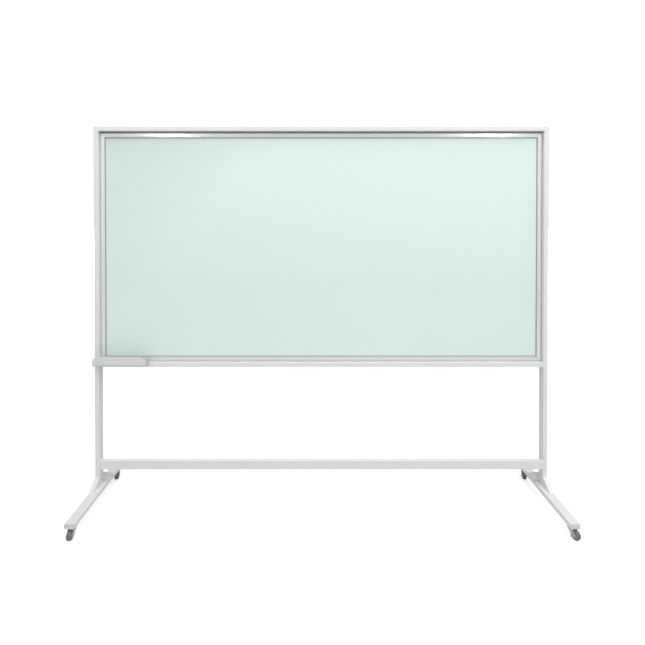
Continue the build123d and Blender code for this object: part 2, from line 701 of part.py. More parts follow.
def caster(side, end, turn):
    """The pieces of one caster, in place."""
    place = Pos(side * foot_centre, caster_y(end), 0) * Rot(0, 0, turn)
    return {
        "caster_stem": place * caster_stem(),
        "caster_fork": place * caster_fork(),
        "caster_balls": [place * ball for ball in caster_balls()],
        "caster_axle": place * caster_axle(),
        "caster_hub": place * caster_hub(),
        "caster_tyre": place * caster_tyre(),
    }


# ---- the whole object ----
def all_nodes():
    nodes = {
        "top_rail": top_rail(),
        "middle_rail": middle_rail(),
        "bottom_crossbar": bottom_crossbar(),
        "crossbar_end_blocks": crossbar_end_blocks(),
        "crossbar_bolts": crossbar_bolts(),
        "access_hole_plugs": access_hole_plugs(),
        "foot_end_caps": foot_end_caps(),
        "caster_weld_nuts": weld_nuts(),
        "glass_panel": panel(glass_front, GLASS_THICKNESS),
        "backing_core": drilled_panel(core_front, CORE_THICKNESS),
        "back_sheet": drilled_panel(sheet_front, BACK_SHEET_THICKNESS),
        "glass_gasket": glass_gasket(),
        "glass_setting_blocks": setting_blocks(),
        "corner_keys": corner_keys(),
        "board_screws": board_screws(),
        "pen_tray": pen_tray(),
        "tray_end_cap_left": tray_end_cap(-1),
        "tray_end_cap_right": tray_end_cap(1),
        "tray_screws": tray_screws(),
    }
    nodes.update(board_frame())
    nodes.update(stop_strips())
    for side_name, side in (("left", -1), ("right", 1)):
        nodes[f"upright_{side_name}"] = upright(side)
        nodes[f"foot_tube_{side_name}"] = foot_tube(side)
        nodes[f"gusset_front_{side_name}"] = gusset(side, -1)
        nodes[f"gusset_rear_{side_name}"] = gusset(side, 1)
    for name, (side, end, turn) in CASTERS.items():
        for piece, shape in caster(side, end, turn).items():
            nodes[f"{piece}_{name}"] = shape
    return nodes


os.makedirs("parts", exist_ok=True)
for name, shape in all_nodes().items():
    if isinstance(shape, list):
        shape = Compound(children=shape)
    export_step(shape, f"parts/{name}.step")
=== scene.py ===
import math

import bmesh
import bpy
from mathutils import Matrix, Vector


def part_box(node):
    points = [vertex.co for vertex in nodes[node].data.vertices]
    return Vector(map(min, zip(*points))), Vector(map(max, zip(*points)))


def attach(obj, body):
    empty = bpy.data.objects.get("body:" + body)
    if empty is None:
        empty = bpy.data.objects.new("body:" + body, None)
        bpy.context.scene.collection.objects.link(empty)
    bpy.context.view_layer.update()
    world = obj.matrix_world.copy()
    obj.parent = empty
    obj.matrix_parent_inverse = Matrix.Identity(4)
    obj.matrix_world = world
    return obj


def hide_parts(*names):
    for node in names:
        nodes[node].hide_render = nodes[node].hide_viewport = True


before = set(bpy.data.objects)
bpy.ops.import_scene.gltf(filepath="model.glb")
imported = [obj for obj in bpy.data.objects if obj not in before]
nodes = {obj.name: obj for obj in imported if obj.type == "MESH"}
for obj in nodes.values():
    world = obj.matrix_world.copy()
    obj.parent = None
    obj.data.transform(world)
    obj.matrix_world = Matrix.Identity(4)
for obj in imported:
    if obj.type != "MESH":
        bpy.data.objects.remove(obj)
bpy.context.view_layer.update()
casterNames = ("front_left", "front_right", "rear_left", "rear_right")
print("frame loaded,", len(nodes), "CAD nodes")


# camera
cameraLook = {
    "place": (-0.0417, -2.5564, 1.5687),
    "tiltDown": 0.61,  # degrees
    "lens": 26.3,
    "shift": (0.01376, -0.1558),  # the board stands high in the frame, its uprights kept parallel
}


def makeCamera(look):
    data = bpy.data.cameras.new("studioCamera")
    data.lens = look["lens"]
    data.sensor_width = 36
    data.shift_x, data.shift_y = look["shift"]
    data.clip_start, data.clip_end = 0.05, 200
    camera = bpy.data.objects.new("studioCamera", data)
    camera.location = look["place"]
    camera.rotation_euler = (math.radians(90 - look["tiltDown"]), 0, 0)
    bpy.context.scene.collection.objects.link(camera)
    bpy.context.scene.camera = camera


makeCamera(cameraLook)
print("camera set")


# node helpers
def addNode(tree, kind, values=None, **settings):
    # a value that is a socket is linked, anything else is set on the input
    node = tree.nodes.new(kind)
    for name, value in settings.items():
        setattr(node, name, value)
    for label, value in (values or {}).items():
        if isinstance(value, bpy.types.NodeSocket):
            tree.links.new(value, node.inputs[label])
        else:
            node.inputs[label].default_value = value
    return node


def multiply(tree, first, second):
    return addNode(tree, "ShaderNodeMath", {0: first, 1: second}, operation="MULTIPLY").outputs[0]


def startGroup(name, kind, inputs, outputs):
    group = bpy.data.node_groups.new(name, kind)
    for label, socketKind, value in inputs:
        socket = group.interface.new_socket(label, in_out="INPUT", socket_type=socketKind)
        if value is not None:
            socket.default_value = value
    for label, socketKind in outputs:
        group.interface.new_socket(label, in_out="OUTPUT", socket_type=socketKind)
    return group, group.nodes.new("NodeGroupInput").outputs, group.nodes.new("NodeGroupOutput").inputs


# shader groups, each built once
def makeSurfaceGrain():
    # fine relief stretched along a direction, and slow drifts of tone
    group, given, out = startGroup(
        "surfaceGrain", "ShaderNodeTree",
        [("Vector", "NodeSocketVector", None), ("Stretch", "NodeSocketVector", (1, 1, 1)),
         ("Grain scale", "NodeSocketFloat", 400.0), ("Drift scale", "NodeSocketFloat", 3.0)],
        [("Height", "NodeSocketFloat"), ("Fine tone", "NodeSocketFloat"), ("Drift", "NodeSocketFloat")])
    stretched = addNode(group, "ShaderNodeVectorMath", {0: given["Vector"], 1: given["Stretch"]},
                        operation="MULTIPLY")
    fine = addNode(group, "ShaderNodeTexNoise",
                   {"Vector": stretched.outputs[0], "Scale": given["Grain scale"], "Detail": 3.0,
                    "Roughness": 0.6})
    coarser = multiply(group, given["Grain scale"], 0.37)
    tone = addNode(group, "ShaderNodeTexNoise",
                   {"Vector": stretched.outputs[0], "Scale": coarser, "Detail": 2.0})
    drift = addNode(group, "ShaderNodeTexNoise",
                    {"Vector": given["Vector"], "Scale": given["Drift scale"], "Detail": 4.0,
                     "Roughness": 0.55})
    group.links.new(fine.outputs["Fac"], out["Height"])
    group.links.new(tone.outputs["Fac"], out["Fine tone"])
    group.links.new(drift.outputs["Fac"], out["Drift"])
    return group


def makeEdgeHighlightAndWear():
    # painted highlight: a thin bright line along edges standing in for light caught by their rounding,
    # partly also wear where a coating or a polish thins over an edge
    group, given, out = startGroup(
        "edgeHighlightAndWear", "ShaderNodeTree",
        [("Vector", "NodeSocketVector", None), ("Reach", "NodeSocketFloat", 0.001),
         ("Amount", "NodeSocketFloat", 0.5)],
        [("Mask", "NodeSocketFloat")])
    rounded = addNode(group, "ShaderNodeBevel", {"Radius": given["Reach"]}, samples=6)
    plain = addNode(group, "ShaderNodeNewGeometry")
    same = addNode(group, "ShaderNodeVectorMath",
                   {0: rounded.outputs["Normal"], 1: plain.outputs["Normal"]}, operation="DOT_PRODUCT")
    edge = addNode(group, "ShaderNodeMapRange",
                   {"Value": same.outputs["Value"], "From Min": 0.995, "From Max": 0.86,
                    "To Min": 0.0, "To Max": 1.0})
    patchy = addNode(group, "ShaderNodeTexNoise", {"Vector": given["Vector"], "Scale": 60.0, "Detail": 4.0})
    broken = addNode(group, "ShaderNodeMapRange",
                     {"Value": patchy.outputs["Fac"], "From Min": 0.35, "From Max": 0.65})
    both = multiply(group, edge.outputs[0], broken.outputs[0])
    group.links.new(multiply(group, both, given["Amount"]), out["Mask"])
    return group


def makeDustFilm():
    # dust lies on what faces up, in a broken film
    group, given, out = startGroup(
        "dustFilm", "ShaderNodeTree",
        [("Vector", "NodeSocketVector", None), ("Amount", "NodeSocketFloat", 0.3)],
        [("Mask", "NodeSocketFloat")])
    shape = addNode(group, "ShaderNodeNewGeometry")
    split = addNode(group, "ShaderNodeSeparateXYZ", {0: shape.outputs["Normal"]})
    facingUp = addNode(group, "ShaderNodeMapRange",
                       {"Value": split.outputs["Z"], "From Min": 0.35, "From Max": 0.95})
    broad = addNode(group, "ShaderNodeTexNoise", {"Vector": given["Vector"], "Scale": 14.0, "Detail": 6.0,
                                                 "Roughness": 0.65})
    film = addNode(group, "ShaderNodeMapRange",
                   {"Value": broad.outputs["Fac"], "From Min": 0.38, "From Max": 0.68})
    both = multiply(group, facingUp.outputs[0], film.outputs[0])
    group.links.new(multiply(group, both, given["Amount"]), out["Mask"])
    return group


def makeRubMarks():
    # sparse short scratches, in two crossing directions
    group, given, out = startGroup(
        "rubMarks", "ShaderNodeTree",
        [("Vector", "NodeSocketVector", None), ("Scale", "NodeSocketFloat", 30.0),
         ("Amount", "NodeSocketFloat", 0.3)],
        [("Mask", "NodeSocketFloat")])
    masks = []
    for turn, stretch in ((0.5, (1.0, 14.0, 14.0)), (-0.9, (16.0, 1.2, 16.0))):
        turned = addNode(group, "ShaderNodeMapping",
                         {"Vector": given["Vector"], "Rotation": (turn, turn * 0.6, turn),
                          "Scale": stretch})
        noise = addNode(group, "ShaderNodeTexNoise",
                        {"Vector": turned.outputs[0], "Scale": given["Scale"], "Detail": 2.0})
        line = addNode(group, "ShaderNodeMapRange",
                       {"Value": noise.outputs["Fac"], "From Min": 0.70, "From Max": 0.76})
        masks.append(line.outputs[0])
    most = addNode(group, "ShaderNodeMath", {0: masks[0], 1: masks[1]}, operation="MAXIMUM")
    group.links.new(multiply(group, most.outputs[0], given["Amount"]), out["Mask"])
    return group


surfaceGrain = makeSurfaceGrain()
edgeHighlightAndWear = makeEdgeHighlightAndWear()
dustFilm = makeDustFilm()
rubMarks = makeRubMarks()


def fillGroup(tree, group, values):
    return addNode(tree, "ShaderNodeGroup", values, node_tree=group)


def mixColours(tree, factor, first, second):
    node = tree.nodes.new("ShaderNodeMix")
    node.data_type = "RGBA"
    for index, value in ((0, factor), (6, first), (7, second)):
        if isinstance(value, bpy.types.NodeSocket):
            tree.links.new(value, node.inputs[index])
        elif index == 0:
            node.inputs[index].default_value = value
        else:
            node.inputs[index].default_value = (*value, 1.0)
    return node.outputs[2]


def makeFinish(name, look):
    material = bpy.data.materials.new(name)
    material.use_nodes = True
    tree = material.node_tree
    tree.nodes.clear()
    output = tree.nodes.new("ShaderNodeOutputMaterial")
    shader = tree.nodes.new("ShaderNodeBsdfPrincipled")
    tree.links.new(shader.outputs[0], output.inputs["Surface"])
    place = tree.nodes.new("ShaderNodeTexCoord").outputs["Object"]
    grain = fillGroup(tree, surfaceGrain, {
        "Vector": place, "Stretch": look.get("stretch", (1, 1, 1)),
        "Grain scale": look["grainScale"], "Drift scale": look.get("driftScale", 3.0)})
    colour = mixColours(tree, grain.outputs["Drift"], look["colour"], look["drifted"])
    if look.get("fleck"):
        colour = mixColours(tree, grain.outputs["Fine tone"], colour, look["fleck"])
    low, high = look["roughness"]
    rough = addNode(tree, "ShaderNodeMapRange",
                    {"Value": grain.outputs["Fine tone"], "From Min": 0.3, "From Max": 0.7,
                     "To Min": low, "To Max": high}).outputs[0]
    # painted highlight along the edges, partly wear: the edge colour is lighter than the surface
    if look.get("edge"):
        edge = fillGroup(tree, edgeHighlightAndWear, {"Vector": place, "Reach": look["edgeReach"],
                                           "Amount": look["edge"]})
        colour = mixColours(tree, edge.outputs["Mask"], colour, look["edgeHighlightColour"])
    if look.get("rub"):
        rub = fillGroup(tree, rubMarks, {"Vector": place, "Scale": look.get("rubScale", 30.0),
                                         "Amount": look["rub"]})
        colour = mixColours(tree, rub.outputs["Mask"], colour, look["rubColour"])
    if look.get("dust"):
        dust = fillGroup(tree, dustFilm, {"Vector": place, "Amount": look["dust"]})
        colour = mixColours(tree, dust.outputs["Mask"], colour, look.get("dustColour", (0.62, 0.61, 0.58)))
        rough = addNode(tree, "ShaderNodeMath", {0: rough, 1: dust.outputs["Mask"]},
                        operation="ADD", use_clamp=True).outputs[0]
    tree.links.new(colour, shader.inputs["Base Color"])
    tree.links.new(rough, shader.inputs["Roughness"])
    shader.inputs["Metallic"].default_value = look.get("metallic", 0.0)
    shader.inputs["Specular IOR Level"].default_value = look.get("specular", 0.5)
    if look.get("coat"):
        shader.inputs["Coat Weight"].default_value = look["coat"]
        shader.inputs["Coat Roughness"].default_value = look.get("coatRoughness", 0.1)
    bump = addNode(tree, "ShaderNodeBump",
                   {"Strength": look.get("bump", 0.3), "Distance": look["bumpDepth"],
                    "Height": grain.outputs["Height"]})
    tree.links.new(bump.outputs[0], shader.inputs["Normal"])
    return material


framePaintLook = {
    "colour": (0.70, 0.705, 0.705), "drifted": (0.735, 0.74, 0.74), "driftScale": 2.2,
    "grainScale": 520.0, "roughness": (0.30, 0.42), "bump": 0.25, "bumpDepth": 0.00012,
    "edge": 0.35, "edgeReach": 0.0012, "edgeHighlightColour": (0.86, 0.86, 0.86), "dust": 0.10,
    "dustColour": (0.68, 0.67, 0.65),
}
# the top and bottom members get a darker base colour than the uprights: painted shade that keeps the
# lights' sheen on them from running white
boardAlongShadedLook = {
    "colour": (0.69, 0.69, 0.71), "drifted": (0.735, 0.73, 0.75), "driftScale": 1.6,
    "fleck": (0.76, 0.755, 0.78), "stretch": (0.015, 1.0, 1.0), "grainScale": 900.0, "metallic": 0.4,
    "roughness": (0.17, 0.25), "bump": 0.2, "bumpDepth": 0.00005,
    "edge": 0.4, "edgeReach": 0.0008, "edgeHighlightColour": (0.9, 0.9, 0.92),
}
boardUpLook = dict(boardAlongShadedLook, stretch=(1.0, 1.0, 0.015), colour=(0.77, 0.77, 0.79),
                   drifted=(0.82, 0.815, 0.835), fleck=(0.85, 0.845, 0.87))
trayLook = {
    "colour": (0.68, 0.68, 0.70), "drifted": (0.74, 0.74, 0.755), "driftScale": 6.0,
    "fleck": (0.78, 0.78, 0.80), "stretch": (0.02, 1.0, 1.0), "grainScale": 900.0, "metallic": 0.45,
    "roughness": (0.34, 0.5), "bump": 0.3, "bumpDepth": 0.00006, "edge": 0.5, "edgeReach": 0.0007,
    "edgeHighlightColour": (0.84, 0.84, 0.85), "rub": 0.25, "rubColour": (0.7, 0.7, 0.71), "dust": 0.22,
}
zincLook = {
    "colour": (0.55, 0.555, 0.56), "drifted": (0.64, 0.64, 0.62), "driftScale": 40.0,
    "grainScale": 700.0, "metallic": 1.0, "roughness": (0.22, 0.4), "bump": 0.2, "bumpDepth": 0.00005,
}
# darker base colour than the screws' zinc: painted shade for the forks, which sit in shadow under the feet
casterZincShadedLook = {
    "colour": (0.46, 0.46, 0.465), "drifted": (0.56, 0.555, 0.54), "driftScale": 45.0,
    "grainScale": 600.0, "metallic": 0.95, "roughness": (0.30, 0.48), "bump": 0.3, "bumpDepth": 0.00008,
    "edge": 0.6, "edgeReach": 0.0006, "edgeHighlightColour": (0.72, 0.72, 0.72), "rub": 0.35, "rubScale": 90.0,
    "rubColour": (0.62, 0.61, 0.60), "dust": 0.2,
}
bearingLook = {
    "colour": (0.58, 0.58, 0.59), "drifted": (0.40, 0.36, 0.30), "driftScale": 120.0,
    "grainScale": 900.0, "metallic": 1.0, "roughness": (0.08, 0.2), "bump": 0.1, "bumpDepth": 0.00003,
}
gasketLook = {
    "colour": (0.31, 0.32, 0.33), "drifted": (0.36, 0.37, 0.38), "driftScale": 8.0,
    "grainScale": 800.0, "roughness": (0.5, 0.7), "bump": 0.3, "bumpDepth": 0.00008, "dust": 0.3,
}
capLook = {
    "colour": (0.60, 0.605, 0.60), "drifted": (0.64, 0.645, 0.64), "driftScale": 20.0,
    "grainScale": 1100.0, "roughness": (0.42, 0.6), "bump": 0.35, "bumpDepth": 0.00008,
    "edge": 0.25, "edgeReach": 0.0008, "edgeHighlightColour": (0.75, 0.75, 0.75),
}
trayCapLook = dict(capLook, colour=(0.52, 0.52, 0.53), drifted=(0.56, 0.56, 0.57), dust=0.15)
coreLook = {
    "colour": (0.40, 0.30, 0.20), "drifted": (0.50, 0.39, 0.27), "driftScale": 60.0,
    "fleck": (0.30, 0.22, 0.14), "grainScale": 500.0, "stretch": (0.3, 1.0, 1.0),
    "roughness": (0.75, 0.9), "bump": 0.5, "bumpDepth": 0.0002,
}
backSheetLook = {
    "colour": (0.53, 0.54, 0.55), "drifted": (0.60, 0.61, 0.615), "driftScale": 1.3,
    "grainScale": 260.0, "stretch": (1.0, 1.0, 0.12), "roughness": (0.45, 0.6),
    "bump": 0.2, "bumpDepth": 0.0001, "rub": 0.2, "rubScale": 9.0, "rubColour": (0.63, 0.64, 0.64),
    "dust": 0.1,
}
hubLook = {
    "colour": (0.40, 0.40, 0.395), "drifted": (0.46, 0.46, 0.45), "driftScale": 60.0,
    "grainScale": 900.0, "roughness": (0.4, 0.58), "bump": 0.3, "bumpDepth": 0.00008,
    "edge": 0.35, "edgeReach": 0.0006, "edgeHighlightColour": (0.5, 0.5, 0.49), "dust": 0.2,
}
tyreLook = {
    "colour": (0.115, 0.101, 0.096), "drifted": (0.165, 0.145, 0.137), "driftScale": 70.0,
    "fleck": (0.21, 0.19, 0.18), "grainScale": 900.0, "roughness": (0.62, 0.85),
    "bump": 0.4, "bumpDepth": 0.00012, "rub": 0.4, "rubScale": 60.0, "rubColour": (0.26, 0.24, 0.22),
    "dust": 0.25,
}
glassLook = {
    "shadedCornerColour": (0.585, 0.71, 0.69),  # painted shade: the darker tone at the upper left, standing in for the light falling off there
    "colour": (0.675, 0.81, 0.765),
    "lean": 0.8,  # how much the painted shade follows height against width
    "fade": 0.9,  # metres over which it fades
    "roughness": (0.035, 0.075),
    "wave": 0.000015,  # roller wave of float glass, metres
    "smear": (0.78, 0.86, 0.845),
}


def makePaintedGlass(name, look):
    # clear polished glass painted on its rear face, seen as its paint under a gloss
    low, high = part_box("glass_panel")
    material = bpy.data.materials.new(name)
    material.use_nodes = True
    tree = material.node_tree
    shader = tree.nodes["Principled BSDF"]
    place = tree.nodes.new("ShaderNodeTexCoord").outputs["Object"]
    # painted shade: the glass colour runs from a darker tone at the upper left corner to the lit tone, in
    # place of the light's falloff across the board
    slant = addNode(tree, "ShaderNodeVectorMath", {0: place, 1: (1.0, 0.0, -look["lean"])},
                    operation="DOT_PRODUCT")
    across = addNode(tree, "ShaderNodeMapRange", {
        "Value": slant.outputs["Value"], "From Min": low.x - look["lean"] * high.z,
        "From Max": low.x - look["lean"] * high.z + look["fade"]})
    colour = mixColours(tree, across.outputs[0], look["shadedCornerColour"], look["colour"])
    grain = fillGroup(tree, surfaceGrain, {"Vector": place, "Stretch": (1.0, 1.0, 3.0),
                                           "Grain scale": 1.4, "Drift scale": 2.6})
    cloud = addNode(tree, "ShaderNodeMapRange",
                    {"Value": grain.outputs["Drift"], "From Min": 0.45, "From Max": 0.8,
                     "To Min": 0.0, "To Max": 0.12})
    colour = mixColours(tree, cloud.outputs[0], colour, look["smear"])
    wipe = fillGroup(tree, rubMarks, {"Vector": place, "Scale": 1.6, "Amount": 1.0})
    rough = addNode(tree, "ShaderNodeMapRange",
                    {"Value": wipe.outputs["Mask"], "To Min": look["roughness"][0],
                     "To Max": look["roughness"][1]})
    bump = addNode(tree, "ShaderNodeBump", {"Strength": 0.3, "Distance": look["wave"],
                                            "Height": grain.outputs["Height"]})
    tree.links.new(colour, shader.inputs["Base Color"])
    tree.links.new(rough.outputs[0], shader.inputs["Roughness"])
    tree.links.new(bump.outputs[0], shader.inputs["Normal"])
    shader.inputs["IOR"].default_value = 1.52
    return material


finishes = {
    "frame_paint": makeFinish("framePaint", framePaintLook),
    "board_frame_aluminium": makeFinish("boardFrameAlongShaded", boardAlongShadedLook),
    "boardFrameUp": makeFinish("boardFrameUp", boardUpLook),
    "painted_glass": makePaintedGlass("paintedGlass", glassLook),
    "core_board": makeFinish("coreBoard", coreLook),
    "back_sheet_steel": makeFinish("backSheetSteel", backSheetLook),
    "gasket_rubber": makeFinish("gasketRubber", gasketLook),
    "zinc_steel": makeFinish("zincSteel", zincLook),
    "grey_plastic": makeFinish("greyPlastic", capLook),
    "tray_aluminium": makeFinish("trayAluminium", trayLook),
    "tray_cap_plastic": makeFinish("trayCapPlastic", trayCapLook),
    "caster_zinc": makeFinish("casterZincShaded", casterZincShadedLook),
    "bearing_steel": makeFinish("bearingSteel", bearingLook),
    "hub_plastic": makeFinish("hubPlastic", hubLook),
    "tyre_rubber": makeFinish("tyreRubber", tyreLook),
}
for node in nodes.values():
    for slot in node.material_slots:
        slot.material = finishes[slot.material.name.split(".")[0]]
for side in ("left", "right"):
    nodes["board_frame_" + side].material_slots[0].material = finishes["boardFrameUp"]
print("finishes made")


# mesh helpers
def newPiece(name, mesh, slot, body="root", finish=None):
    piece = bpy.data.objects.new(name, mesh)
    bpy.context.scene.collection.objects.link(piece)
    mesh.materials.clear()
    mesh.materials.append(finishes[finish or slot])
    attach(piece, body)
    return piece


def closeMesh(shape, name, sharpAngle=32):
    # merged, facing outwards, smooth but for its real edges
    bmesh.ops.remove_doubles(shape, verts=shape.verts, dist=1e-6)
    bmesh.ops.recalc_face_normals(shape, faces=shape.faces)
    mesh = bpy.data.meshes.new(name)
    shape.to_mesh(mesh)
    shape.free()
    mesh.shade_smooth()
    mesh.set_sharp_from_angle(angle=math.radians(sharpAngle))
    return mesh


def turnedShape(section, segments, place):
    # closed ring: (along, radius) points turned about the local X axis
    shape = bmesh.new()
    rows = []
    for i in range(segments):
        turn = 2 * math.pi * i / segments
        across, up = math.cos(turn), math.sin(turn)
        rows.append([shape.verts.new(place @ Vector((along, radius * across, radius * up)))
                     for along, radius in section])
    count = len(section)
    for i in range(segments):
        near, far = rows[i], rows[(i + 1) % segments]
        for j in range(count):
            shape.faces.new((near[j], near[(j + 1) % count], far[(j + 1) % count], far[j]))
    return shape


def mirroredSection(half):
    # half a section from its middle outwards, completed on the other side
    return [(-along, radius) for along, radius in reversed(half)] + [p for p in half if p[0] > 0]


# geometry node helpers
def setInputs(modifier, values):
    for item in modifier.node_group.interface.items_tree:
        if item.item_type == "SOCKET" and item.in_out == "INPUT" and item.name in values:
            modifier[item.identifier] = values[item.name]


def growMesh(base, group, values, name):
    # runs a geometry node tree on a base mesh and keeps the result as a plain mesh
    source = bpy.data.objects.new("source", base)
    bpy.context.scene.collection.objects.link(source)
    modifier = source.modifiers.new("grow", "NODES")
    modifier.node_group = group
    setInputs(modifier, values)
    bpy.context.view_layer.update()
    view = bpy.context.evaluated_depsgraph_get()
    mesh = bpy.data.meshes.new_from_object(source.evaluated_get(view), depsgraph=view)
    mesh.name = name
    source.modifiers.remove(modifier)
    bpy.data.objects.remove(source)
    return mesh


# weld beads along the joints of the steel frame
weldLook = {
    "radius": 0.0019,
    "ripple": 0.0022,  # one ripple's length
    "rippleDepth": 0.16,
    "inset": 0.0004,  # how deep the bead's middle lies in the corner
    "cornerGap": 1.5,  # how far a bead stops short of an open corner, in bead radii
    "railGap": 1.2,
    "tackLength": 0.012,
    "tackGap": 0.24,
    "tackShare": 0.7,  # of the bead's radius
    "tackSink": 0.25,
}


def makeBeadTree():
    group, given, out = startGroup(
        "weldBead", "GeometryNodeTree",
        [("Joints", "NodeSocketGeometry", None), ("Bead radius", "NodeSocketFloat", 0.002),
         ("Ripple length", "NodeSocketFloat", 0.002), ("Ripple depth", "NodeSocketFloat", 0.2),
         ("Seed", "NodeSocketInt", 4), ("Finish", "NodeSocketMaterial", None)],
        [("Beads", "NodeSocketGeometry")])
    step = multiply(group, given["Ripple length"], 0.25)  # four points to a ripple
    curve = addNode(group, "GeometryNodeMeshToCurve", {"Mesh": given["Joints"]})
    fine = addNode(group, "GeometryNodeResampleCurve", {"Curve": curve.outputs[0],
                                                        "Length": step}, mode="LENGTH")
    along = addNode(group, "GeometryNodeSplineParameter")
    phase = addNode(group, "ShaderNodeMath", {0: along.outputs["Length"], 1: given["Ripple length"]},
                    operation="DIVIDE")
    beat = addNode(group, "ShaderNodeMath", {0: phase.outputs[0]}, operation="FRACT")
    deep = multiply(group, beat.outputs[0], given["Ripple depth"])
    jitter = addNode(group, "FunctionNodeRandomValue", {2: 0.93, 3: 1.05, "Seed": given["Seed"]},
                     data_type="FLOAT")
    swell = addNode(group, "ShaderNodeMath", {0: jitter.outputs[1], 1: deep}, operation="SUBTRACT")
    radius = multiply(group, swell.outputs[0], given["Bead radius"])
    section = addNode(group, "GeometryNodeCurvePrimitiveCircle", {"Resolution": 8, "Radius": 1.0})
    tube = addNode(group, "GeometryNodeCurveToMesh",
                   {"Curve": fine.outputs[0], "Profile Curve": section.outputs[0],
                    "Scale": radius, "Fill Caps": True})
    smooth = addNode(group, "GeometryNodeSetShadeSmooth", {"Geometry": tube.outputs[0]})
    real = addNode(group, "GeometryNodeRealizeInstances", {"Geometry": smooth.outputs[0]})
    painted = addNode(group, "GeometryNodeSetMaterial", {"Geometry": real.outputs[0],
                                                         "Material": given["Finish"]})
    group.links.new(painted.outputs[0], out["Beads"])
    return group


def pathMesh(paths):
    mesh = bpy.data.meshes.new("paths")
    points, edges = [], []
    for path in paths:
        first = len(points)
        points += path
        edges += [(first + i, first + i + 1) for i in range(len(path) - 1)]
    mesh.from_pydata(points, edges, [])
    return mesh


def jointPaths(look):
    paths = []
    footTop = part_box("foot_tube_left")[1].z
    railLow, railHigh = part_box("middle_rail")
    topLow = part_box("top_rail")[0].z
    sink, end = look["inset"], look["radius"]
    short, railShort = end * look["cornerGap"], end * look["railGap"]
    for side, sign in (("left", 1), ("right", -1)):
        low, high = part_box("upright_" + side)
        inner = (high.x if sign > 0 else low.x) + sign * sink
        outer = (low.x if sign > 0 else high.x) + sign * short
        front, back = low.y, high.y
        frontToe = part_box("gusset_front_" + side)[0].y
        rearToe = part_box("gusset_rear_" + side)[1].y
        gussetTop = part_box("gusset_front_" + side)[1].z
        bead = footTop + sink
        # along the foot beside the upright and the front gusset, then round each gusset
        paths.append([(inner, frontToe + end, bead), (inner, back - short, bead)])
        for name, toe, face, turn in (("front", frontToe, front, -1), ("rear", rearToe, back, 1)):
            boxLow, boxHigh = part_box("gusset_" + name + "_" + side)
            within = (boxHigh.x if sign > 0 else boxLow.x) - sign * short
            paths.append([(within, toe + turn * sink, bead), (outer, toe + turn * sink, bead)])
            paths.append([(inner - sign * short, face + turn * sink, gussetTop + sink),
                          (outer, face + turn * sink, gussetTop + sink)])
        for edge, turn in ((railLow.z, -1), (railHigh.z, 1), (topLow, -1)):
            paths.append([(inner, front + railShort, edge + turn * sink),
                          (inner, back - railShort, edge + turn * sink)])
    return paths


def tackPaths(look):
    # short beads between the strips' rear edges and the tubes
    paths = []
    half = look["tackLength"] / 2
    stripLow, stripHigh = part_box("stop_strip_bottom")
    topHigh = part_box("stop_strip_top")[1]
    back = stripHigh.y - look["radius"] * look["tackSink"]
    count = round((stripHigh.x - stripLow.x) / look["tackGap"])
    for i in range(count):
        x = stripLow.x + (i + 0.5) * (stripHigh.x - stripLow.x) / count
        for z in (stripLow.z, topHigh.z):
            paths.append([(x - half, back, z), (x + half, back, z)])
    count = round((topHigh.z - stripLow.z) / look["tackGap"])
    for i in range(count):
        z = stripLow.z + (i + 0.5) * (topHigh.z - stripLow.z) / count
        for x in (stripLow.x, stripHigh.x):
            paths.append([(x, back, z - half), (x, back, z + half)])
    return paths


beadTree = makeBeadTree()
for name, paths, share in (("weldBeads", jointPaths(weldLook), 1.0),
                           ("tackWelds", tackPaths(weldLook), weldLook["tackShare"])):
    beads = growMesh(pathMesh(paths), beadTree, {
        "Bead radius": weldLook["radius"] * share, "Ripple length": weldLook["ripple"],
        "Ripple depth": weldLook["rippleDepth"], "Seed": 7, "Finish": finishes["frame_paint"]}, name)
    newPiece(name, beads, "frame_paint")
print("welds made")


# fasteners, each a prototype set on points that say which way it faces
screwLook = {
    "radius": 0.004, "height": 0.0024, "shank": 0.002, "shankLength": 0.009, "segments": 48,
    "tip": 0.0012, "threads": 8, "threadRoot": 0.82,  # root as a share of the shank's radius
    "threadFoot": 0.0002, "threadCrest": 0.0006,  # along the shank from each thread's start
    "rimShare": 0.45, "crownShare": 0.5,  # of the head's height
    "recess": 0.0047, "recessWidth": 0.00095, "recessDepth": 0.0014, "seed": 11,
}
plugLook = {
    "radius": 0.008, "thickness": 0.0015, "rim": 0.0012, "dish": 0.0004, "segments": 40, "seed": 3,
}


def makeFastenerTree():
    group, given, out = startGroup(
        "setFasteners", "GeometryNodeTree",
        [("Places", "NodeSocketGeometry", None), ("Fastener", "NodeSocketObject", None),
         ("Scale", "NodeSocketFloat", 1.0), ("Seed", "NodeSocketInt", 1),
         ("Finish", "NodeSocketMaterial", None)],
        [("Fasteners", "NodeSocketGeometry")])
    facing = addNode(group, "GeometryNodeInputNamedAttribute", {"Name": "facing"}, data_type="FLOAT_VECTOR")
    aim = addNode(group, "FunctionNodeAlignRotationToVector", {"Vector": facing.outputs[0]}, axis="Z")
    spin = addNode(group, "FunctionNodeRandomValue", {2: 0.0, 3: 6.2832, "Seed": given["Seed"]},
                   data_type="FLOAT")
    twist = addNode(group, "FunctionNodeAxisAngleToRotation", {"Axis": (0, 0, 1), "Angle": spin.outputs[1]})
    turned = addNode(group, "FunctionNodeRotateRotation", {0: aim.outputs[0], 1: twist.outputs[0]},
                     rotation_space="LOCAL")
    part = addNode(group, "GeometryNodeObjectInfo", {"Object": given["Fastener"]})
    points = addNode(group, "GeometryNodeMeshToPoints", {"Mesh": given["Places"]})
    many = addNode(group, "GeometryNodeInstanceOnPoints",
                   {"Points": points.outputs[0], "Instance": part.outputs["Geometry"],
                    "Rotation": turned.outputs[0], "Scale": given["Scale"]})
    real = addNode(group, "GeometryNodeRealizeInstances", {"Geometry": many.outputs[0]})
    painted = addNode(group, "GeometryNodeSetMaterial", {"Geometry": real.outputs[0],
                                                         "Material": given["Finish"]})
    group.links.new(painted.outputs[0], out["Fasteners"])
    return group


